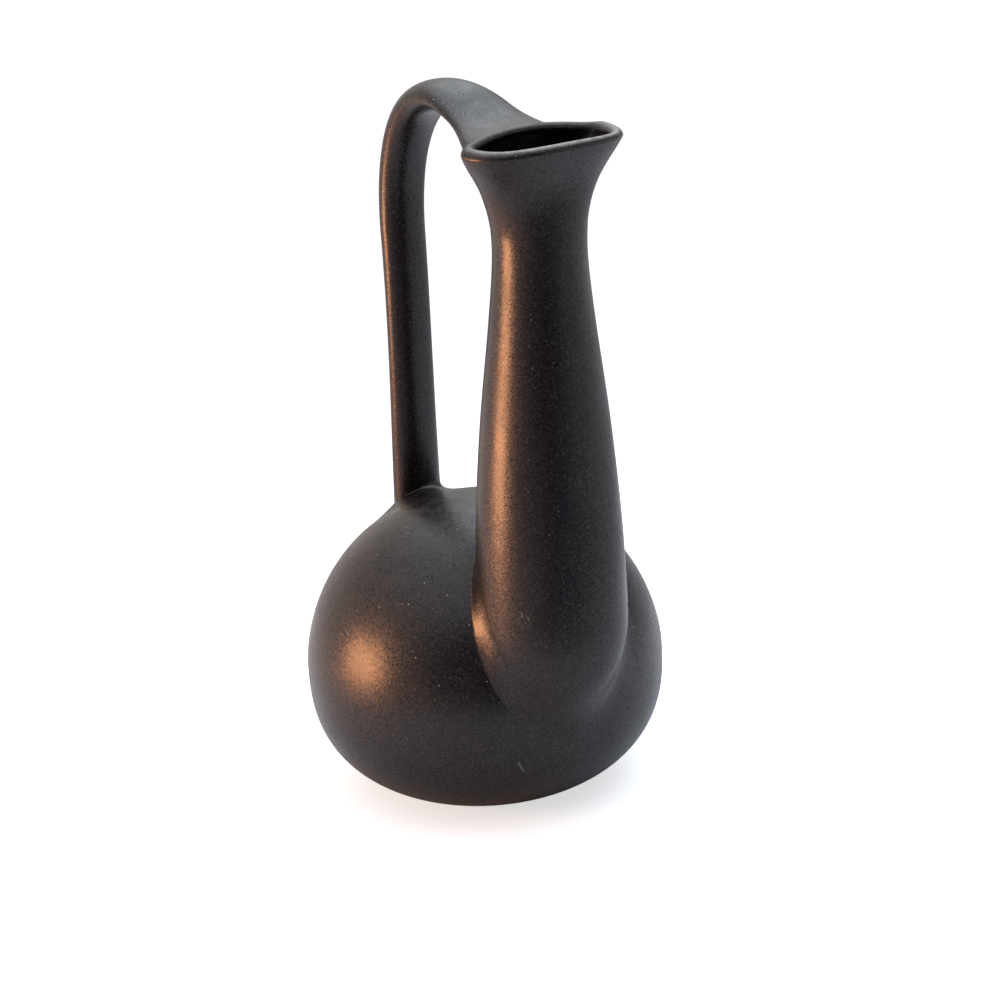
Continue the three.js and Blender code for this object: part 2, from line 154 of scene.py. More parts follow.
def build_rings(name, rings, wrapped, highlights=None):
    """Piece made by extruding ring after ring; wrapped bridges the last ring to the first one."""
    highlights = highlights or {}
    no_highlight = [0] * len(rings[0])
    bpy.ops.object.select_all(action="DESELECT")
    bpy.ops.mesh.primitive_circle_add(vertices=len(rings[0]), radius=MM, location=(0, 0, 0))
    piece = begin(name)
    mesh = bmesh.from_edit_mesh(piece.data)
    mesh.verts.layers.float.new("edge_highlight")
    place = mesh.verts.layers.int.new("place")
    for number, vertex in enumerate(mesh.verts):
        vertex[place] = number
    lay(piece, rings[0], highlights.get(0, no_highlight))
    for number, ring in enumerate(rings[1:], 1):
        bpy.ops.mesh.extrude_edges_move()
        lay(piece, ring, highlights.get(number, no_highlight))
    bpy.ops.mesh.select_all(action="DESELECT")
    bpy.ops.mesh.select_mode(type="EDGE")
    bpy.ops.mesh.select_non_manifold(
        use_wire=False, use_multi_face=False, use_non_contiguous=False, use_verts=False
    )
    if wrapped:
        bpy.ops.mesh.bridge_edge_loops()
    else:
        bpy.ops.mesh.edge_face_add()
    bpy.ops.mesh.select_mode(type="VERT")
    return face_outwards(piece)


def spread(count, start, end):
    return [start + (end - start) * i / count for i in range(count + 1)]


def turn_angles(count):
    return [2 * math.pi * i / count for i in range(count)]


# %% [markdown]
# ## The belly
#
# The belly is a squat round form: full and curved under, with a low dome on top. Its outline is two curves
# that meet at the widest place, each a power curve like a stretched circle. A real belly this closed is thrown
# in two halves, so the bowl and the shoulder are two turned pieces with a lap joint inside the wall. A thin
# extra ring beside the seam keeps the shading of both halves alike, so that the seam doesn't show.

# %% Outline of the belly
BELLY_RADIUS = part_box("shoulder")[1].x
BODY_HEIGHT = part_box("shoulder")[1].z
BELLY_HEIGHT = 51 * MM
FOOT_RADIUS = 31 * MM
BODY_WALL = 4 * MM
SEAM_DROP = 13 * MM
SEAM_HEIGHT = BELLY_HEIGHT - SEAM_DROP
LAP_HEIGHT = 5 * MM
UNDERSIDE_CURVE = (2.7, 1.57)
DOME_CURVE = (1.8, 2.4)
SUPPORT = 0.12 * MM
NUDGE = 0.01 * MM


def belly_radius(z):
    if z <= BELLY_HEIGHT:
        t = 1 - max(z, 0) / BELLY_HEIGHT
        full = (1 - t ** UNDERSIDE_CURVE[0]) ** (1 / UNDERSIDE_CURVE[1])
        return FOOT_RADIUS + (BELLY_RADIUS - FOOT_RADIUS) * full
    t = min((z - BELLY_HEIGHT) / (BODY_HEIGHT - BELLY_HEIGHT), 1)
    return BELLY_RADIUS * (1 - t ** DOME_CURVE[0]) ** (1 / DOME_CURVE[1])


def wall_point(z, depth):
    """Outline point at height z, moved square into the wall by depth."""
    if z >= BODY_HEIGHT:
        return 0, BODY_HEIGHT - depth
    low, high = max(z - NUDGE, 0), z + NUDGE
    slope = (belly_radius(high) - belly_radius(low)) / (high - low)
    length = math.hypot(1, slope)
    return max(belly_radius(z) - depth / length, 0), z + depth * slope / length


def underside_heights(count, top):
    return [BELLY_HEIGHT * (1 - math.cos(a)) for a in spread(count, 0, math.acos(1 - top / BELLY_HEIGHT))]


def dome_heights(count):
    return [BELLY_HEIGHT + (BODY_HEIGHT - BELLY_HEIGHT) * math.sin(a) for a in spread(count, 0, math.pi / 2)]


print("belly", round(BELLY_RADIUS / MM, 1), "mm radius,", round(BODY_HEIGHT / MM, 1), "mm high")

# %% Bowl
AROUND_BODY = 224
BODY_LAP = BODY_WALL / 2
bowl_outer = underside_heights(56, SEAM_HEIGHT)
bowl_inner = underside_heights(24, SEAM_HEIGHT - LAP_HEIGHT)
bowl_outline = [
    (0, 0),
    *[wall_point(z, 0) for z in bowl_outer[:-1]],
    wall_point(SEAM_HEIGHT - SUPPORT, 0),
    wall_point(SEAM_HEIGHT, 0),
    wall_point(SEAM_HEIGHT, BODY_LAP),
    wall_point(SEAM_HEIGHT - LAP_HEIGHT, BODY_LAP),
    *[wall_point(z, BODY_WALL) for z in reversed(bowl_inner)],
    (0, BODY_WALL),
]
bowl = throw("bowl", bowl_outline, AROUND_BODY)

# %% Shoulder
shoulder_rise = spread(12, SEAM_HEIGHT + SUPPORT, BELLY_HEIGHT)
shoulder_outline = [
    *[wall_point(z, BODY_WALL) for z in reversed(dome_heights(24))],
    wall_point(SEAM_HEIGHT, BODY_WALL),
    wall_point(SEAM_HEIGHT - LAP_HEIGHT, BODY_WALL),
    wall_point(SEAM_HEIGHT - LAP_HEIGHT, BODY_LAP),
    wall_point(SEAM_HEIGHT, BODY_LAP),
    wall_point(SEAM_HEIGHT, 0),
    *[wall_point(z, 0) for z in shoulder_rise[:-1]],
    *[wall_point(z, 0) for z in dome_heights(64)],
]
shoulder = throw("shoulder", shoulder_outline, AROUND_BODY)

# %% [markdown]
# ## The neck
#
# The neck is a tall tube that swells above its root and narrows to the waist. Its root stands proud of the
# belly's front, ends round like an egg and sits a few millimetres to one side. From there the tube leans back
# to the waist, where it already begins to flare. It could be a turned piece, but then the lean and the bow would
# be lost. Here every ring is a circle of its own radius about a bowed axis. The lowest rings follow the dome, so
# the foot ends inside the belly's wall, as a potter cuts a neck to a saddle before luting it on.

# %% A smooth curve through stations


def through(stations):
    """Curve through (position, value) pairs with the slope of the neighbours at each of them."""
    last = len(stations) - 1
    slopes = []
    for i in range(last + 1):
        before = stations[max(i - 1, 0)]
        after = stations[min(i + 1, last)]
        slopes.append((after[1] - before[1]) / (after[0] - before[0]))

    def value(t):
        i = 0
        while i < last - 1 and t > stations[i + 1][0]:
            i += 1
        h = stations[i + 1][0] - stations[i][0]
        s = (t - stations[i][0]) / h
        rise = s * s * (3 - 2 * s)
        leave = s * (1 - s) ** 2 * h * slopes[i]
        arrive = s * s * (1 - s) * h * slopes[i + 1]
        return stations[i][1] * (1 - rise) + stations[i + 1][1] * rise + leave - arrive

    return value


# %% Form of the neck
WAIST_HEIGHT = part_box("neck")[1].z
WAIST_RADIUS = 17.1 * MM
NECK_RADIUS = 28.6 * MM
NECK_WALL = 3.6 * MM
NECK_PROUD = 16.6 * MM
NECK_LEAN = -7.0 * MM
NECK_BOW = 6.2 * MM
NECK_BOW_CURVE = 1.5
NECK_ASIDE = -9.9 * MM
NECK_FULL = 86.0 * MM
NECK_ROUNDING = 40.0 * MM
NECK_X = BELLY_RADIUS - NECK_RADIUS + NECK_PROUD
WAIST_X = NECK_X + NECK_LEAN
MOUTH_HEIGHT = 32 * MM
MOUTH_HALF_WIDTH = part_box("mouth")[1].y
LIP_FRONT = 23.9 * MM
LIP_BACK = 11.4 * MM
FLARE_SOFT = 0.30
LIP_BEND = 0.5
LIP_BEAD = 0.6 * MM
BEAD_ALONG = 0.7
LEFT_NARROWER = 0.8 * MM
LIP_FULLNESS = 2.2
FLARE_CURVE = (1.53, 2.3)
neck_taper = through([
    (-0.23, 0.92), (0, 1), (0.23, 0.92), (0.5, 0.64), (0.78, 0.21), (0.93, 0.03), (1.05, 0),
])


def neck_radius(z):
    if z < NECK_FULL:
        return NECK_RADIUS * math.sqrt(max(1 - ((NECK_FULL - z) / NECK_ROUNDING) ** 2, 0))
    rise = (z - NECK_FULL) / (WAIST_HEIGHT - NECK_FULL)
    return WAIST_RADIUS + (NECK_RADIUS - WAIST_RADIUS) * neck_taper(rise)


def flare(share, angle):
    """Growth of the round waist into the oval mouth, along and across."""
    soft = (share + math.hypot(share, FLARE_SOFT)) / (1 + math.hypot(1, FLARE_SOFT))
    reach = LIP_FRONT if math.cos(angle) > 0 else LIP_BACK
    along = (reach - WAIST_RADIUS) * soft ** FLARE_CURVE[1]
    half_width = MOUTH_HALF_WIDTH - (LEFT_NARROWER if math.sin(angle) < 0 else 0)
    across = (half_width - WAIST_RADIUS) * soft ** FLARE_CURVE[0]
    bend = max((share - LIP_BEND) / (1 - LIP_BEND), 0)
    bead = LIP_BEAD * 27 / 4 * bend ** 2 * (1 - bend)
    return along + BEAD_ALONG * bead, across + bead


def drawn(value, fullness):
    """Cosine or sine of a circle drawn out to a fuller oval."""
    return math.copysign(abs(value) ** (2 / fullness), value)


def neck_point(z, angle, depth=0):
    share = (z - BELLY_HEIGHT) / (WAIST_HEIGHT - BELLY_HEIGHT)
    x = NECK_X + NECK_LEAN * share - NECK_BOW * (share - max(share, 0) ** NECK_BOW_CURVE)
    y = NECK_ASIDE * (1 - share)
    radius = neck_radius(z) - depth
    along, across = flare((z - WAIST_HEIGHT) / MOUTH_HEIGHT, angle)
    return Vector((x + (radius + along) * math.cos(angle), y + (radius + across) * math.sin(angle), z))


def body_field(point):
    """Below zero inside the belly's outer skin, above zero outside it."""
    r = math.hypot(point.x, point.y) / BELLY_RADIUS
    if point.z <= BELLY_HEIGHT:
        return r - belly_radius(point.z) / BELLY_RADIUS
    return r ** DOME_CURVE[1] + ((point.z - BELLY_HEIGHT) / (BODY_HEIGHT - BELLY_HEIGHT)) ** DOME_CURVE[0] - 1


def crossing(curve, inside, outside):
    """Position along a curve where it comes out of the belly."""
    for _ in range(36):
        middle = (inside + outside) / 2
        if body_field(curve(middle)) > 0:
            outside = middle
        else:
            inside = middle
    return outside


# %% Neck with its saddle foot
AROUND_NECK = 176
LUTE_DEPTH = 1.5 * MM
SADDLE_LOW = NECK_FULL - NECK_ROUNDING + 0.5 * MM
neck_angles = turn_angles(AROUND_NECK)


def neck_seat(angle, depth=0):
    return crossing(lambda z: neck_point(z, angle, depth), SADDLE_LOW, WAIST_HEIGHT)


outer_feet = [neck_seat(a) - LUTE_DEPTH for a in neck_angles]
inner_feet = [neck_seat(a, NECK_WALL) - LUTE_DEPTH for a in neck_angles]


def neck_ring(share, feet, depth):
    return [
        neck_point(foot + (WAIST_HEIGHT - foot) * share, a, depth) for foot, a in zip(feet, neck_angles)
    ]


neck_shares = [*spread(100, 0, 1)[:-1], 0.999, 1]
neck = build_rings(
    "neck",
    [neck_ring(t, outer_feet, 0) for t in neck_shares]
    + [neck_ring(t, inner_feet, NECK_WALL) for t in reversed(spread(40, 0, 1))],
    wrapped=True,
)

# %% [markdown]
# ## The way into the belly
#
# Before the neck is luted on, the potter cuts a hole in the dome under it, so that water reaches the belly. Faces
# of the dome could be deleted, but that leaves a ragged edge on the turned mesh. A cylinder taken away with a
# boolean cuts both skins of the wall in one clean round.

# %% Hole from the neck into the belly
HOLE_RADIUS = 15 * MM
HOLE_BACK = 9 * MM
HOLE_DROP = 20 * MM
CUTTER_LENGTH = 60 * MM
HOLE_CENTRE = (NECK_X - HOLE_BACK, NECK_ASIDE, BODY_HEIGHT - HOLE_DROP)
bpy.ops.object.select_all(action="DESELECT")
bpy.ops.mesh.primitive_cylinder_add(
    vertices=64, radius=HOLE_RADIUS, depth=CUTTER_LENGTH, location=HOLE_CENTRE
)
cutter = bpy.context.object
bpy.context.view_layer.objects.active = shoulder
pierce = shoulder.modifiers.new("hole", "BOOLEAN")
pierce.object = cutter
pierce.operation = "DIFFERENCE"
bpy.ops.object.modifier_apply(modifier=pierce.name)
bpy.data.objects.remove(cutter)
print("shoulder pierced,", len(shoulder.data.polygons), "faces")

# %% [markdown]
# ## The mouth
#
# The mouth flares from the round waist and is pinched front to back into a wide fishtail, longer in front than
# behind. The lip is rolled and thickest at its two ends, which dip; its right end is a little higher than the
# left one, and the back lip slumps to the right. No primitive has this form, so the rings are full ovals with a
# front half and a back half of their own length, with a slight bead under the lip. Then follow half a turn of a
# small circle for the roll and the same rings again inside. The crest of the front lip carries a share for a
# painted highlight, a pale line that the glaze paints along it.

# %% Form of the mouth
LIP_FORWARD = 2 * MM
LIP_TILT = 1.3 * MM
LIP_SADDLE = 3 * MM
LIP_CANT = 0.7 * MM
LIP_SLUMP = 1.5 * MM
lip_wall = through([
    (-math.pi, 4 * MM), (-2.3, 4.4 * MM), (-1.6, 6.4 * MM), (-0.8, 5 * MM), (0, 4.2 * MM), (0.8, 4.2 * MM),
    (1.6, 6.8 * MM), (2.3, 4.6 * MM), (math.pi, 4 * MM),
])


def signed(angle):
    return (angle + math.pi) % (2 * math.pi) - math.pi


def mouth_point(share, angle, depth=0, raised=0):
    fullness = 2 + (LIP_FULLNESS - 2) * share ** 2
    c = drawn(math.cos(angle), fullness)
    s = drawn(math.sin(angle), fullness)
    along, across = flare(share, angle)
    right = max(s, 0)
    lift = LIP_SADDLE * (0.5 - s * s) - LIP_TILT * c + LIP_CANT * right ** 2 - LIP_SLUMP * right ** 2 * max(-c, 0)
    return Vector((
        WAIST_X + LIP_FORWARD * share ** 2 + (WAIST_RADIUS + along - depth) * c,
        (WAIST_RADIUS + across - depth) * s,
        WAIST_HEIGHT + MOUTH_HEIGHT * share + share ** 2 * lift + raised,
    ))


def mouth_ring(share):
    return [mouth_point(share, a) for a in neck_angles]


def bore_ring(share):
    return [
        mouth_point(share, a, NECK_WALL + (lip_wall(signed(a)) - NECK_WALL) * share ** 2) for a in neck_angles
    ]


def roll_ring(turn):
    ring = []
    for a in neck_angles:
        r = lip_wall(signed(a)) / 2
        ring.append(mouth_point(1, a, r * (1 - math.cos(turn)), r * math.sin(turn)))
    return ring


# %% Mouth with its rolled lip
ROLL_STEPS = 16


def crest_highlight(turn):
    """Painted highlight on the crest of the front lip, at each angle."""
    crest = math.sin(math.pi * turn) ** 4
    return [crest * min(max(0.5 + 1.5 * math.cos(a), 0), 1) for a in neck_angles]


mouth_shares = [0, 0.004, *spread(40, 0, 1)[1:]]
mouth = build_rings(
    "mouth",
    [mouth_ring(t) for t in mouth_shares]
    + [roll_ring(a) for a in spread(ROLL_STEPS, 0, math.pi)[1:-1]]
    + [bore_ring(t) for t in reversed(spread(30, 0, 1))],
    wrapped=True,
    highlights={len(mouth_shares) - 1 + i: crest_highlight(i / ROLL_STEPS) for i in range(1, ROLL_STEPS)},
)

# %% [markdown]
# ## The handle
#
# The handle is a pulled strap of clay, a flattened oval in section. It leaves the back of the lip wide and thin,
# arches over and runs down almost straight to the back of the dome, where it spreads a little. A curve object
# with a bevel gives one section only. This section changes all along, so the strap is built of rings square to
# its path, with the width and the thickness read from a few stations.

# %% Path of the handle
HANDLE_WIDTH = 19.6 * MM
HANDLE_DEPTH = 12 * MM
HANDLE_REACH = 35.8 * MM
HANDLE_RISE = 7.9 * MM
HANDLE_ARCH = 45 * MM
HEAD_BACKSET = 24.5 * MM
HEAD_WIDTH = 30 * MM
HEAD_DEPTH = 7.6 * MM
FOOT_SPREAD = 2 * MM
FOOT_INSET = 31.3 * MM
FOOT_X = FOOT_INSET - BELLY_RADIUS
ROD_FULLNESS = 2.06
RIM_HEIGHT = WAIST_HEIGHT + MOUTH_HEIGHT
RIM_X = WAIST_X + LIP_FORWARD

head_start = Vector((RIM_X - LIP_BACK - HEAD_BACKSET, 0, RIM_HEIGHT + HANDLE_RISE))
run_top = RIM_HEIGHT - HANDLE_ARCH
foot_share = (1 - (-FOOT_X / BELLY_RADIUS) ** DOME_CURVE[1]) ** (1 / DOME_CURVE[0])
foot_end = Vector((FOOT_X, 0, BELLY_HEIGHT + (BODY_HEIGHT - BELLY_HEIGHT) * foot_share - 2 * BODY_WALL))
arch_drop = head_start.z - run_top
run_drop = foot_end.z - run_top
ARCH_RUN = (
    head_start,
    Vector((head_start.x - 0.6 * (head_start.x + HANDLE_REACH), 0, head_start.z + 0.285 * arch_drop)),
    Vector((-HANDLE_REACH, 0, run_top + 0.8 * arch_drop)),
    Vector((-HANDLE_REACH, 0, run_top)),
)
STRAIGHT_RUN = (
    Vector((-HANDLE_REACH, 0, run_top)),
    Vector((-HANDLE_REACH, 0, run_top + 0.35 * run_drop)),
    Vector((FOOT_X + 0.15 * (-HANDLE_REACH - FOOT_X), 0, run_top + 0.72 * run_drop)),
    foot_end,
)


def bezier(points, t):
    a, b, c, d = points
    return a * (1 - t) ** 3 + b * 3 * t * (1 - t) ** 2 + c * 3 * t * t * (1 - t) + d * t ** 3


PATH_STEPS = 400
rod_path = [bezier(ARCH_RUN, t) for t in spread(PATH_STEPS, 0, 1)]
rod_path += [bezier(STRAIGHT_RUN, t) for t in spread(PATH_STEPS, 0, 1)[1:]]
rod_lengths = [0]
for before, after in zip(rod_path, rod_path[1:]):
    rod_lengths.append(rod_lengths[-1] + (after - before).length)


def rod_centre(share):
    """Point of the handle's path at a share of its length."""
    wanted = min(max(share, 0), 1) * rod_lengths[-1]
    low, high = 0, len(rod_path) - 1
    while high - low > 1:
        middle = (low + high) // 2
        if rod_lengths[middle] <= wanted:
            low = middle
        else:
            high = middle
    part = (wanted - rod_lengths[low]) / (rod_lengths[high] - rod_lengths[low])
    return rod_path[low].lerp(rod_path[high], part)


def rod_direction(share):
    return (rod_centre(min(share + 0.004, 1)) - rod_centre(max(share - 0.004, 0))).normalized()


print("handle", round(rod_lengths[-1] / MM), "mm along its path")

# %% Handle
AROUND_ROD = 80
rod_angles = turn_angles(AROUND_ROD)
rod_width = through([
    (0, HEAD_WIDTH / 2), (0.12, HANDLE_WIDTH * 0.61), (0.3, HANDLE_WIDTH * 0.51), (0.65, HANDLE_WIDTH / 2),
    (1, (HANDLE_WIDTH + FOOT_SPREAD) / 2),
])
rod_depth = through([
    (0, HEAD_DEPTH / 2), (0.12, HANDLE_DEPTH * 0.51), (0.3, HANDLE_DEPTH * 0.56), (0.65, HANDLE_DEPTH / 2),
    (1, (HANDLE_DEPTH + FOOT_SPREAD) / 2),
])


def rod_point(share, angle):
    along = rod_direction(share)
    across = Vector((-along.z, 0, along.x))
    u = drawn(math.cos(angle), ROD_FULLNESS) * rod_depth(share)
    v = drawn(math.sin(angle), ROD_FULLNESS) * rod_width(share)
    return rod_centre(share) + across * u + Vector((0, v, 0))


def rod_seat(angle):
    return crossing(lambda t: rod_point(t, angle), 1, 0.7)


rod_ends = [min(rod_seat(a) + 0.01, 1) for a in rod_angles]
handle = build_rings(
    "handle",
    [[rod_point(end * t, a) for end, a in zip(rod_ends, rod_angles)] for t in [0, 0.0005, *spread(150, 0, 1)[1:]]],
    wrapped=False,
)

# %% [markdown]
# ## The head of the handle
#
# Where the handle meets the lip, the potter spread the end of the strap with a thumb until it ran level onto the
# crest of the rim, further round on the left than on the right, and smoothed its underside down the back of the
# mouth. The two ends could be bridged, but a bridge doesn't know about the rim. So every point of the strap's end
# follows a curve of its own: it leaves along the strap and arrives level at the crest, or slanting down into the
# back of the lip.

# %% Handle head
HEAD_WRAP_LEFT = 1.25
HEAD_WRAP_RIGHT = 0.95
HEAD_DROP = 16 * MM
BURIED = 0.006 * MM
rod_ahead = -rod_direction(0)


def head_curve(angle):
    under = (1 + math.cos(angle)) / 2
    start = rod_point(0, angle)
    share = 1 - HEAD_DROP / MOUTH_HEIGHT * under
    side = drawn(math.sin(angle), ROD_FULLNESS)
    around = math.pi - side * (HEAD_WRAP_RIGHT if side > 0 else HEAD_WRAP_LEFT)
    half_lip = lip_wall(signed(around)) / 2
    end = mouth_point(share, around, half_lip, (half_lip - BURIED) * (1 - under))
    reach = (end - start).length / 3
    arrive = Vector((1 - 0.3 * under, 0, -0.7 * under)).normalized()
    return start, start + rod_ahead * reach, end - arrive * reach, end


head_curves = [head_curve(a) for a in rod_angles]
handle_head = build_rings(
    "handle_head",
    [[bezier(points, t) for points in head_curves] for t in [0, 0.004, *spread(48, 0, 1)[1:]]],
    wrapped=False,
)

# %% [markdown]
# ## The rolls of clay in the angles
#
# Where two pieces of wet clay meet, the potter presses a thin roll into the angle and smooths it with a finger.
# At the left of the neck the clay was smoothed flat and ends in a sharp crease. In front and on the right it was
# drawn out wide, and no line is left. At the handle's foot it forms a low skirt with an edge on top. A bevel would
# cut into both pieces and has one width only. Each roll here is a strip of its own: a curve from the tube to the
# belly at every angle, which follows the surface at either end closely for a soft joint or not at all for a crease.

# %% Strips in the angle between a tube and the belly
FIELD_STEP = 0.02 * MM


def body_normal(point):
    slope = Vector()
    for axis in range(3):
        step = Vector()
        step[axis] = FIELD_STEP
        slope[axis] = body_field(point + step) - body_field(point - step)
    return slope.normalized()


def onto_body(point):
    for _ in range(8):
        normal = body_normal(point)
        step = normal * FIELD_STEP
        slope = (body_field(point + step) - body_field(point - step)) / (2 * FIELD_STEP)
        point = point - normal * (body_field(point) / slope)
    return point


STRIP_STEPS = 22
BESIDE = 0.03
HEEL = 0.8 * MM
GUIDES = (0.4, 0.8)


def strip_section(tube, seat, angle, step, rise, spread_out, hold_tube, hold_belly):
    """Points across the strip at one angle: the tube's side, the hollow, the belly's side, then the heel inside."""
    at = seat(angle)
    corner = tube(at, angle)
    before, after = angle - BESIDE, angle + BESIDE
    along = tube(seat(after), after) - tube(seat(before), before)
    up = (tube(at + step, angle) - corner).normalized()
    out = (tube(at, after) - tube(at, before)).cross(up).normalized()
    if out.dot(corner - tube(at, angle + math.pi)) < 0:
        out.negate()
    normal = body_normal(corner)
    away = along.cross(normal).normalized()
    if away.dot(out) < 0:
        away.negate()
    top_at = at + step * rise / (tube(at + step, angle) - corner).length
    top = tube(top_at, angle)
    leave = (tube(top_at - step, angle) - top).normalized() * (corner - top).length * hold_tube
    toe = onto_body(corner + away * spread_out)
    landing = body_normal(toe)
    land = (away - landing * away.dot(landing)).normalized() * (toe - corner).length * hold_belly
    near, far = GUIDES
    guides = [top, top + leave * near, top + leave * far, toe - land * far, toe - land * near, toe]
    hollow = []
    for t in spread(STRIP_STEPS, 0, 1):
        point = Vector()
        for i, guide in enumerate(guides):
            point += guide * (math.comb(5, i) * t ** i * (1 - t) ** (5 - i))
        hollow.append(point)
    hollow[0] = top - out * BURIED
    hollow[-1] = toe - landing * BURIED
    heel = corner - (out + normal) * HEEL
    return [*hollow, heel]


def build_strip(name, sections, highlights=None):
    rows = [list(row) for row in zip(*sections)]
    return build_rings(name, rows, wrapped=True, highlights=highlights)


# %% Roll round the neck's root
roll_rise = through([
    (-math.pi, 5 * MM), (-2.5, 7 * MM), (-2.2, 12 * MM), (-1.9, 16 * MM), (-1.5, 16 * MM), (-1.1, 15 * MM),
    (-0.6, 15 * MM), (0, 16 * MM), (0.8, 15 * MM), (1.5, 12 * MM), (2.2, 10 * MM), (math.pi, 5 * MM),
])
roll_toe = through([
    (-math.pi, 4 * MM), (-2.5, 2.6 * MM), (-2.2, 2.2 * MM), (-1.9, 3.4 * MM), (-1.5, 5.5 * MM), (-1.1, 8 * MM),
    (-0.6, 12 * MM), (0, 17 * MM), (0.8, 15 * MM), (1.5, 11 * MM), (2.2, 9 * MM), (math.pi, 4 * MM),
])
roll_leave = through([
    (-math.pi, 1), (-2.5, 1), (-2.2, 0.9), (-1.9, 0.75), (-1.5, 0.7), (-1.1, 0.8), (-0.6, 1), (0, 1), (math.pi, 1),
])
roll_hold = through([
    (-math.pi, 0.8), (-2.5, 0.8), (-2.2, 0.5), (-1.9, 0.2), (-1.5, 0.1), (-1.1, 0.3), (-0.6, 0.8), (0, 1), (0.8, 1),
    (1.5, 1), (2.2, 0.8), (math.pi, 0.8),
])


ROLL_STEP = 0.2 * MM


def neck_roll_section(angle):
    turn = signed(angle)
    return strip_section(
        neck_point, neck_seat, angle, ROLL_STEP, roll_rise(turn), roll_toe(turn), roll_leave(turn), roll_hold(turn)
    )


AROUND_ROLL = 256
neck_coil = build_strip("neck_coil", [neck_roll_section(a) for a in turn_angles(AROUND_ROLL)])

# %% Collar round the handle's foot
collar_rise = through([
    (-math.pi, 3.5 * MM), (-2, 3.4 * MM), (-1.2, 3.4 * MM), (-0.4, 4 * MM), (0.5, 6.5 * MM), (1.4, 6.5 * MM),
    (2.4, 4 * MM), (math.pi, 3.5 * MM),
])
collar_hold = through([
    (-math.pi, 0.6), (-2, 0.2), (-1.2, 0.05), (-0.4, 0.3), (0.5, 1), (1.4, 1), (2.4, 0.8), (math.pi, 0.6),
])
COLLAR_TOE = 13 * MM
COLLAR_LANDING = 0.6
COLLAR_STEP = -0.001


def collar_section(angle):
    turn = signed(angle)
    return strip_section(
        rod_point, rod_seat, angle, COLLAR_STEP, collar_rise(turn), COLLAR_TOE, collar_hold(turn), COLLAR_LANDING
    )


AROUND_COLLAR = 128
# Painted highlight: a pale line along the top of the skirt, on its near side only.
COLLAR_HIGHLIGHT = {0: 0.5, 1: 1, 2: 0.6, 3: 0.2}
collar_angles = turn_angles(AROUND_COLLAR)
near_side = [max(-math.sin(a), 0) for a in collar_angles]
handle_foot_coil = build_strip(
    "handle_foot_coil",
    [collar_section(a) for a in collar_angles],
    highlights={ring: [share * side for side in near_side] for ring, share in COLLAR_HIGHLIGHT.items()},
)

# %% [markdown]
# ## All the clay together
#
# These are the eight pieces, each under the name of the construction piece that it stands for.

# %% The eight pieces by their nodes
pieces = {
    "bowl": bowl,
    "shoulder": shoulder,
    "neck": neck,
    "mouth": mouth,
    "handle": handle,
    "handle_head": handle_head,
    "neck_coil": neck_coil,
    "handle_foot_coil": handle_foot_coil,
}
print(len(pieces), "pieces,", sum(len(piece.data.polygons) for piece in pieces.values()), "faces")

# %% [markdown]
# ## The glaze
#
# The vase has one satin glaze, nearly black with a touch of plum. Metal oxides come out of it in the kiln as specks
# of bronze, a few tenths of a millimetre wide. In plain light they are dull; where a lamp is mirrored they glitter
# warm. A bump of fine noise gives a leathery skin without glitter. Cells do it better: each Voronoi cell is one
# speck that is metal or not by chance, with its own tint, polish and a slight lean of its own.

# %% Black glaze with a bronze lustre
glaze = bpy.data.materials.new("bronze_black_glaze")
glaze.use_nodes = True
nodes = glaze.node_tree.nodes
links = glaze.node_tree.links
shader = nodes["Principled BSDF"]


def add(kind, inputs, **settings):
    """New node with its inputs set to a value or linked to a socket."""
    item = nodes.new("ShaderNode" + kind)
    for name, value in settings.items():
        setattr(item, name, value)
    for name, value in inputs.items():
        if isinstance(value, bpy.types.NodeSocket):
            links.new(value, item.inputs[name])
        else:
            item.inputs[name].default_value = value
    return item


def ramp(value, low, high, start=0, end=1):
    """Smooth step of a value between two limits."""
    item = add("MapRange", {"Value": value, "From Min": low, "From Max": high, "To Min": start, "To Max": end},
               interpolation_type="SMOOTHSTEP")
    return item.outputs["Result"]


def calculate(operation, a, b):
    return add("Math", {0: a, 1: b}, operation=operation).outputs["Value"]


def times(a, b):
    return calculate("MULTIPLY", a, b)


def plus(a, b):
    return calculate("ADD", a, b)


def larger(a, b):
    return calculate("MAXIMUM", a, b)


def blend(share, a, b):
    item = add("Mix", {"Factor": share}, data_type="RGBA")
    for name, value in (("A", a), ("B", b)):
        if isinstance(value, bpy.types.NodeSocket):
            links.new(value, item.inputs[name])
        else:
            item.inputs[name].default_value = (*value, 1)
    return item.outputs["Result"]


def noise(scale, detail):
    return add("TexNoise", {"Vector": at, "Scale": scale, "Detail": detail}).outputs["Fac"]


at = nodes.new("ShaderNodeTexCoord").outputs["Object"]
shape = nodes.new("ShaderNodeNewGeometry")
up = add("SeparateXYZ", {"Vector": shape.outputs["Normal"]}).outputs["Z"]

FLAKES_PER_METRE = 2200
LUSTRE_FROM = 0.62
DULL_BRONZE = (0.021, 0.019, 0.020)
BRIGHT_BRONZE = (0.078, 0.071, 0.072)
LEAST_LEAN = 0.06
MORE_LEAN = 0.09
flake = add("TexVoronoi", {"Vector": at, "Scale": FLAKES_PER_METRE})
chance = add("SeparateColor", {"Color": flake.outputs["Color"]})
lustre = calculate("GREATER_THAN", chance.outputs["Red"], LUSTRE_FROM)
bronze = blend(chance.outputs["Green"], DULL_BRONZE, BRIGHT_BRONZE)
tilt = add("VectorMath", {0: flake.outputs["Color"], 1: (0.5, 0.5, 0.5)}, operation="SUBTRACT")
steep = calculate("POWER", chance.outputs["Blue"], 3)
steep = plus(times(steep, MORE_LEAN), LEAST_LEAN)
lean = add("VectorMath", {0: tilt.outputs["Vector"], "Scale": steep}, operation="SCALE")
facet = add("VectorMath", {0: shape.outputs["Normal"], 1: lean.outputs["Vector"]}, operation="ADD")
facing = add("VectorMath", {0: facet.outputs["Vector"]}, operation="NORMALIZE")
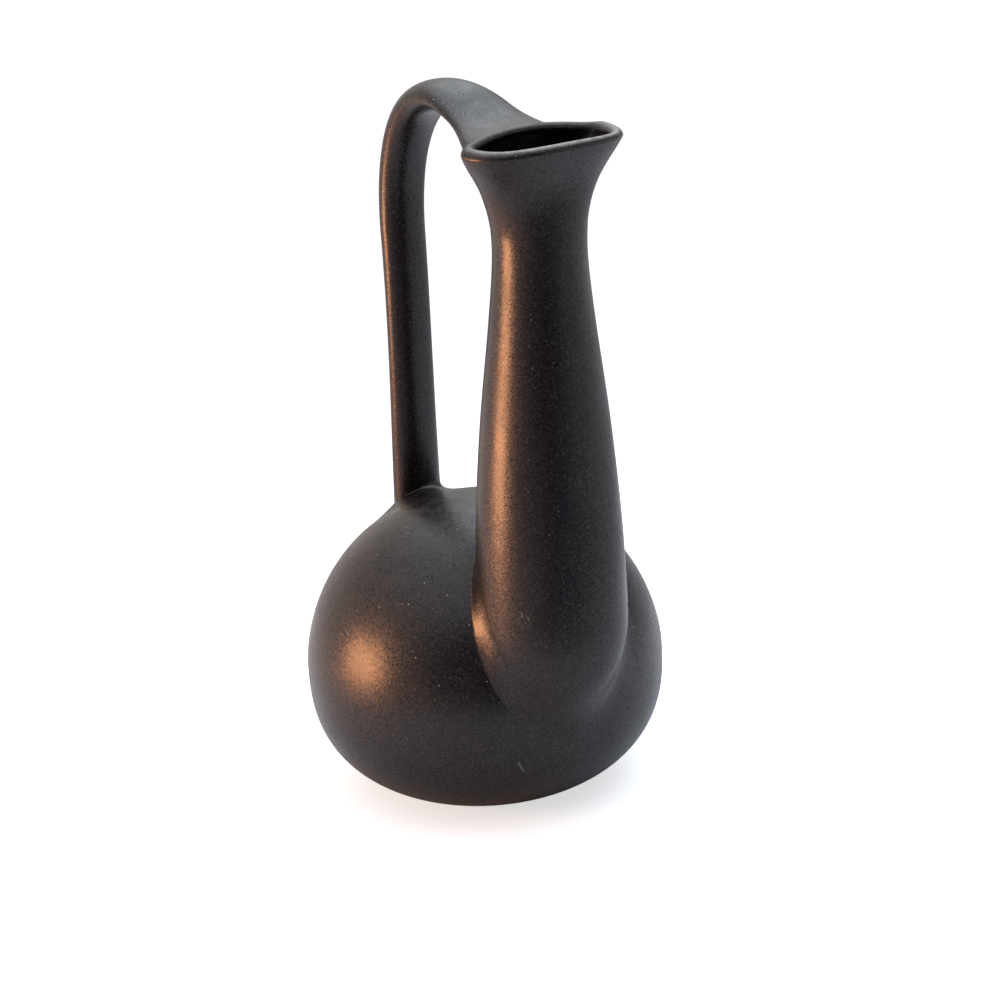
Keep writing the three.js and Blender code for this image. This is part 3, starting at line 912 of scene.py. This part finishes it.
hand = add("Bump", {
    "Height": noise(55, 3), "Strength": 0.12, "Distance": 0.5 * MM, "Normal": facing.outputs["Vector"],
})
print("flakes about", round(1 / FLAKES_PER_METRE / MM, 2), "mm wide")

# %% [markdown]
# ## A scuff and a scratch
#
# Low on the neck the glaze is scuffed, and under the front of the belly it has one short scratch. Both are flat
# marks in the glaze. Modelled grooves would be far deeper than the real ones, so each mark is a mask round its
# place.

# %% Scuff and scratch
SCUFF_PLACE = neck_point(94 * MM, -1.02)
SCRATCH_TOP = (33.1 * MM, math.radians(-27.2))
SCRATCH_LOW = (28.5 * MM, math.radians(-25.5))


def belly_place(z, angle):
    return Vector((belly_radius(z) * math.cos(angle), belly_radius(z) * math.sin(angle), z))


scratch_start = belly_place(*SCRATCH_TOP)
scratch_run = belly_place(*SCRATCH_LOW) - scratch_start
from_start = add("VectorMath", {0: at, 1: scratch_start}, operation="SUBTRACT").outputs["Vector"]
along = add("VectorMath", {0: from_start, 1: scratch_run / scratch_run.length_squared}, operation="DOT_PRODUCT")
along = add("Clamp", {"Value": along.outputs["Value"]}).outputs["Result"]
nearest = add("VectorMath", {0: scratch_run, "Scale": along}, operation="SCALE").outputs["Vector"]
from_scratch = add("VectorMath", {0: from_start, 1: nearest}, operation="DISTANCE").outputs["Value"]
scratch = ramp(from_scratch, 0.15 * MM, 0.4 * MM, 1, 0)
from_scuff = add("VectorMath", {0: at, 1: SCUFF_PLACE}, operation="DISTANCE").outputs["Value"]
scuff = times(ramp(from_scuff, 1 * MM, 4 * MM, 0.6, 0), ramp(noise(700, 2), 0.5, 0.62))
marks = larger(scratch, scuff)
print("scratch", round(scratch_run.length / MM, 1), "mm long")

# %% [markdown]
# ## Painted sheen, dust, painted edge highlights and the bare base
#
# Surfaces that look up get a faint, mottled grey painted sheen and a few pale specks of dust. Along the crest of
# the lip's front, and along the top edge of the skirt on the near side of the handle's foot, a pale line is a
# painted highlight. The base was wiped clean before firing, so it is bare clay. All of this is read from the
# direction, the height and the marks on the mesh, so no image has to be painted.

# %% Painted sheen, dust, painted edge highlights and the bare base
PLUM_BLACK = (0.006, 0.0032, 0.0048)
DEEP_BLACK = (0.004, 0.0028, 0.0042)
PAINTED_SHEEN_GREY = (0.022, 0.024, 0.026)
EDGE_HIGHLIGHT_GREY = (0.31, 0.30, 0.29)
SCUFFED = (0.14, 0.14, 0.145)
DUST = (0.30, 0.29, 0.27)
BARE_CLAY = (0.30, 0.20, 0.13)
GLAZE_IOR = 1.45
# Painted sheen: a mottled grey on surfaces that look up.
painted_top_sheen = times(ramp(up, 0.35, 0.95), ramp(noise(140, 5), 0.38, 0.68))
grit = add("TexVoronoi", {"Vector": at, "Scale": 230})
dust = times(ramp(grit.outputs["Distance"], 0.045, 0.075, 1, 0), ramp(up, -0.1, 0.5))
bare = ramp(add("SeparateXYZ", {"Vector": at}).outputs["Z"], 0.2 * MM, 0.5 * MM, 1, 0)
dark = blend(ramp(noise(30, 3), 0.35, 0.65), PLUM_BLACK, DEEP_BLACK)
dark = blend(times(painted_top_sheen, 0.5), dark, PAINTED_SHEEN_GREY)
colour = blend(lustre, dark, bronze)
# Painted highlight: a pale line on the lip's crest and the skirt's top edge, read from the mesh.
painted_edge = add("Attribute", {}, attribute_name="edge_highlight").outputs["Fac"]
painted_edge_line = times(painted_edge, ramp(noise(300, 3), 0.3, 0.7, 0.4, 1))
for mask, tint in ((painted_edge_line, EDGE_HIGHLIGHT_GREY), (marks, SCUFFED), (dust, DUST), (bare, BARE_CLAY)):
    colour = blend(mask, colour, tint)
not_plain_glaze = larger(larger(dust, bare), larger(times(painted_edge_line, 0.4), times(marks, 0.5)))
metal = times(lustre, ramp(not_plain_glaze, 0.1, 0.4, 1, 0))
satin = ramp(noise(45, 4), 0.3, 0.7, 0.30, 0.36)
polish = ramp(chance.outputs["Green"], 0, 1, -0.12, 0.15)
for rougher in (times(lustre, polish), times(painted_top_sheen, 0.10), times(not_plain_glaze, 0.5)):
    satin = plus(satin, rougher)
links.new(colour, shader.inputs["Base Color"])
links.new(metal, shader.inputs["Metallic"])
links.new(satin, shader.inputs["Roughness"])
links.new(hand.outputs["Normal"], shader.inputs["Normal"])
shader.inputs["IOR"].default_value = GLAZE_IOR
print(glaze.name, len(nodes), "nodes")

# %% [markdown]
# ## One body
#
# A fired vase is one rigid body, so every piece rides on it. All of them share the one glaze.

# %% Every piece rides on the one body and stands for its node
for node_name, piece in pieces.items():
    piece.data.materials.clear()
    piece.data.materials.append(glaze)
    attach(piece, "root")
    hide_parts(node_name)

# %% [markdown]
# ## The floor
#
# The vase stands alone on white. The glaze tells more about the place: pale ground near the vase, less of it
# further out and a dark room in front. So light and shade are painted into the floor's colour: it darkens with
# the distance and to the front, and it is paler on the right and warm on the lamp's side. What the camera sees of
# it is filled up to white, and the shadow under the belly stays. Mirrored rays get a smaller fill of the same
# kind, since the ground that shows in the real glaze is pale grey and not white.

# %% Floor
FLOOR_RADIUS = 10
bpy.ops.object.select_all(action="DESELECT")
bpy.ops.mesh.primitive_circle_add(vertices=96, radius=FLOOR_RADIUS, fill_type="NGON", location=(0, 0, 0))
floor = bpy.context.object
floor.name = "floor"
white = bpy.data.materials.new("white_floor")
white.use_nodes = True
nodes = white.node_tree.nodes
links = white.node_tree.links
floor_shader = nodes["Principled BSDF"]
floor_shader.inputs["Roughness"].default_value = 0.9
floor_shader.inputs["Specular IOR Level"].default_value = 0
floor.data.materials.append(white)
print("floor", tuple(round(size, 1) for size in floor.dimensions), "m")

# %% Tone of the floor and its fill
NEAR_GROUND = (0.64, 0.66, 0.71)
FAR_PAINTED_SHADE = (0.13, 0.14, 0.16)
FRONT_PAINTED_SHADE = (0.13, 0.135, 0.16)
RIGHT_PAINTED_LIGHT = (0.55, 0.55, 0.56)
PAINTED_LAMPLIGHT = (0.56, 0.44, 0.41)
NEAR_FILL, FAR_FILL, FRONT_FILL = ((share,) * 3 for share in (0.64, 0.92, 0.95))
MIRRORED_FILL = 0.36
front = Vector((toward_camera.x, toward_camera.y, 0)).normalized()
on_floor = nodes.new("ShaderNodeTexCoord").outputs["Object"]
away = add("VectorMath", {0: on_floor}, operation="LENGTH").outputs["Value"]
ahead = add("VectorMath", {0: on_floor, 1: front}, operation="DOT_PRODUCT").outputs["Value"]
far = ramp(away, 0.2, 0.7)
dim = ramp(ahead, 0.1, 0.55)
beside = add("VectorMath", {0: on_floor, 1: camera_right}, operation="DOT_PRODUCT").outputs["Value"]
# Painted light and shade on the ground: darker far out and to the front, paler on the right, warm towards the lamp.
painted_ground_light = blend(dim, blend(far, NEAR_GROUND, FAR_PAINTED_SHADE), FRONT_PAINTED_SHADE)
painted_ground_light = blend(ramp(beside, 0.4, 1.3), painted_ground_light, RIGHT_PAINTED_LIGHT)
painted_ground_light = blend(ramp(beside, -0.1, -0.4), painted_ground_light, PAINTED_LAMPLIGHT)
links.new(painted_ground_light, floor_shader.inputs["Base Color"])
links.new(blend(dim, blend(far, NEAR_FILL, FAR_FILL), FRONT_FILL), floor_shader.inputs["Emission Color"])
path = nodes.new("ShaderNodeLightPath").outputs
mirrored = larger(path["Is Glossy Ray"], path["Is Transmission Ray"])
mirrored = times(mirrored, times(ramp(away, 0.08, 0.3, 0, MIRRORED_FILL), ramp(ahead, 0.1, 0.55, 1, 0)))
links.new(larger(path["Is Camera Ray"], mirrored), floor_shader.inputs["Emission Strength"])
print(white.name, len(nodes), "nodes")

# %% [markdown]
# ## The room
#
# The mirrored light on the glaze shows soft light from above, most of it from behind on the right, which turns the
# top of the handle grey. A warm wall stands on the left, and the room behind the camera is dark. Large panels could
# stand there, but they would also show on the floor. Soft patches on the world do the same without an edge.

# %% Room light
VIEW_AZIMUTH = VIEW_TURN - math.radians(90)
ROOM = (0.53, 0.54, 0.57)
WARM_WALL = (0.95, 0.85, 0.78)
CEILING = (1.35, 1.4, 1.5)
BACK_WINDOW = (3.1, 3.3, 3.4)
UNDER_WINDOW = (0.36, 0.36, 0.36)
DARK_FRONT = (0.10, 0.08, 0.11)
world = bpy.data.worlds.new("studio")
bpy.context.scene.world = world
world.use_nodes = True
nodes = world.node_tree.nodes
links = world.node_tree.links
direction = nodes.new("ShaderNodeTexCoord").outputs["Generated"]


def heading(turn, height):
    """Direction at a turn to the camera's right and a height, both in degrees."""
    azimuth = VIEW_AZIMUTH + math.radians(turn)
    level = math.cos(math.radians(height))
    return Vector((level * math.cos(azimuth), level * math.sin(azimuth), math.sin(math.radians(height))))


def patch(before, toward, inner, outer, colour):
    """Blend the light to a colour round one direction, between two angles from it in degrees."""
    facing = add("VectorMath", {0: direction, 1: toward}, operation="DOT_PRODUCT").outputs["Value"]
    return blend(ramp(facing, math.cos(math.radians(outer)), math.cos(math.radians(inner))), before, colour)


light = patch(ROOM, heading(-125, 20), 20, 75, WARM_WALL)
light = patch(light, heading(0, 90), 15, 60, CEILING)
light = patch(light, heading(150, 54), 15, 45, BACK_WINDOW)
light = patch(light, heading(135, 5), 15, 45, UNDER_WINDOW)
light = patch(light, heading(3, 6), 20, 54, DARK_FRONT)
links.new(light, nodes["Background"].inputs["Color"])
print(world.name, len(nodes), "nodes")

# %% [markdown]
# ## The lamp
#
# One warm lamp stands low on the left. It draws the long strip of light on the neck and the spot on the belly. It
# is an area lamp, since the spot has the soft outline of a small window.

# %% Warm lamp at the left
LAMP_DISTANCE = 0.75
LAMP_HEIGHT = 0.14
LAMP_SIZE = (0.30, 0.21)
LAMP_COLOUR = (1, 0.44, 0.19)
LAMP_WATTS = 6.2
toward_lamp = heading(-81, 0)
bpy.ops.object.select_all(action="DESELECT")
bpy.ops.object.light_add(type="AREA")
lamp = bpy.context.object
lamp.name = "warm_lamp"
lamp.data.shape = "RECTANGLE"
lamp.data.size, lamp.data.size_y = LAMP_SIZE
lamp.data.color = LAMP_COLOUR
lamp.data.energy = LAMP_WATTS
lamp.location = LAMP_DISTANCE * toward_lamp + Vector((0, 0, LAMP_HEIGHT))
lamp.rotation_euler = toward_lamp.to_track_quat("Z", "Y").to_euler()
print(lamp.name, "at", tuple(round(c, 2) for c in lamp.location))

# %% [markdown]
# ## Finish
#
# Colours are shown as they are.

# %% Finish
bpy.context.scene.view_settings.view_transform = "Standard"
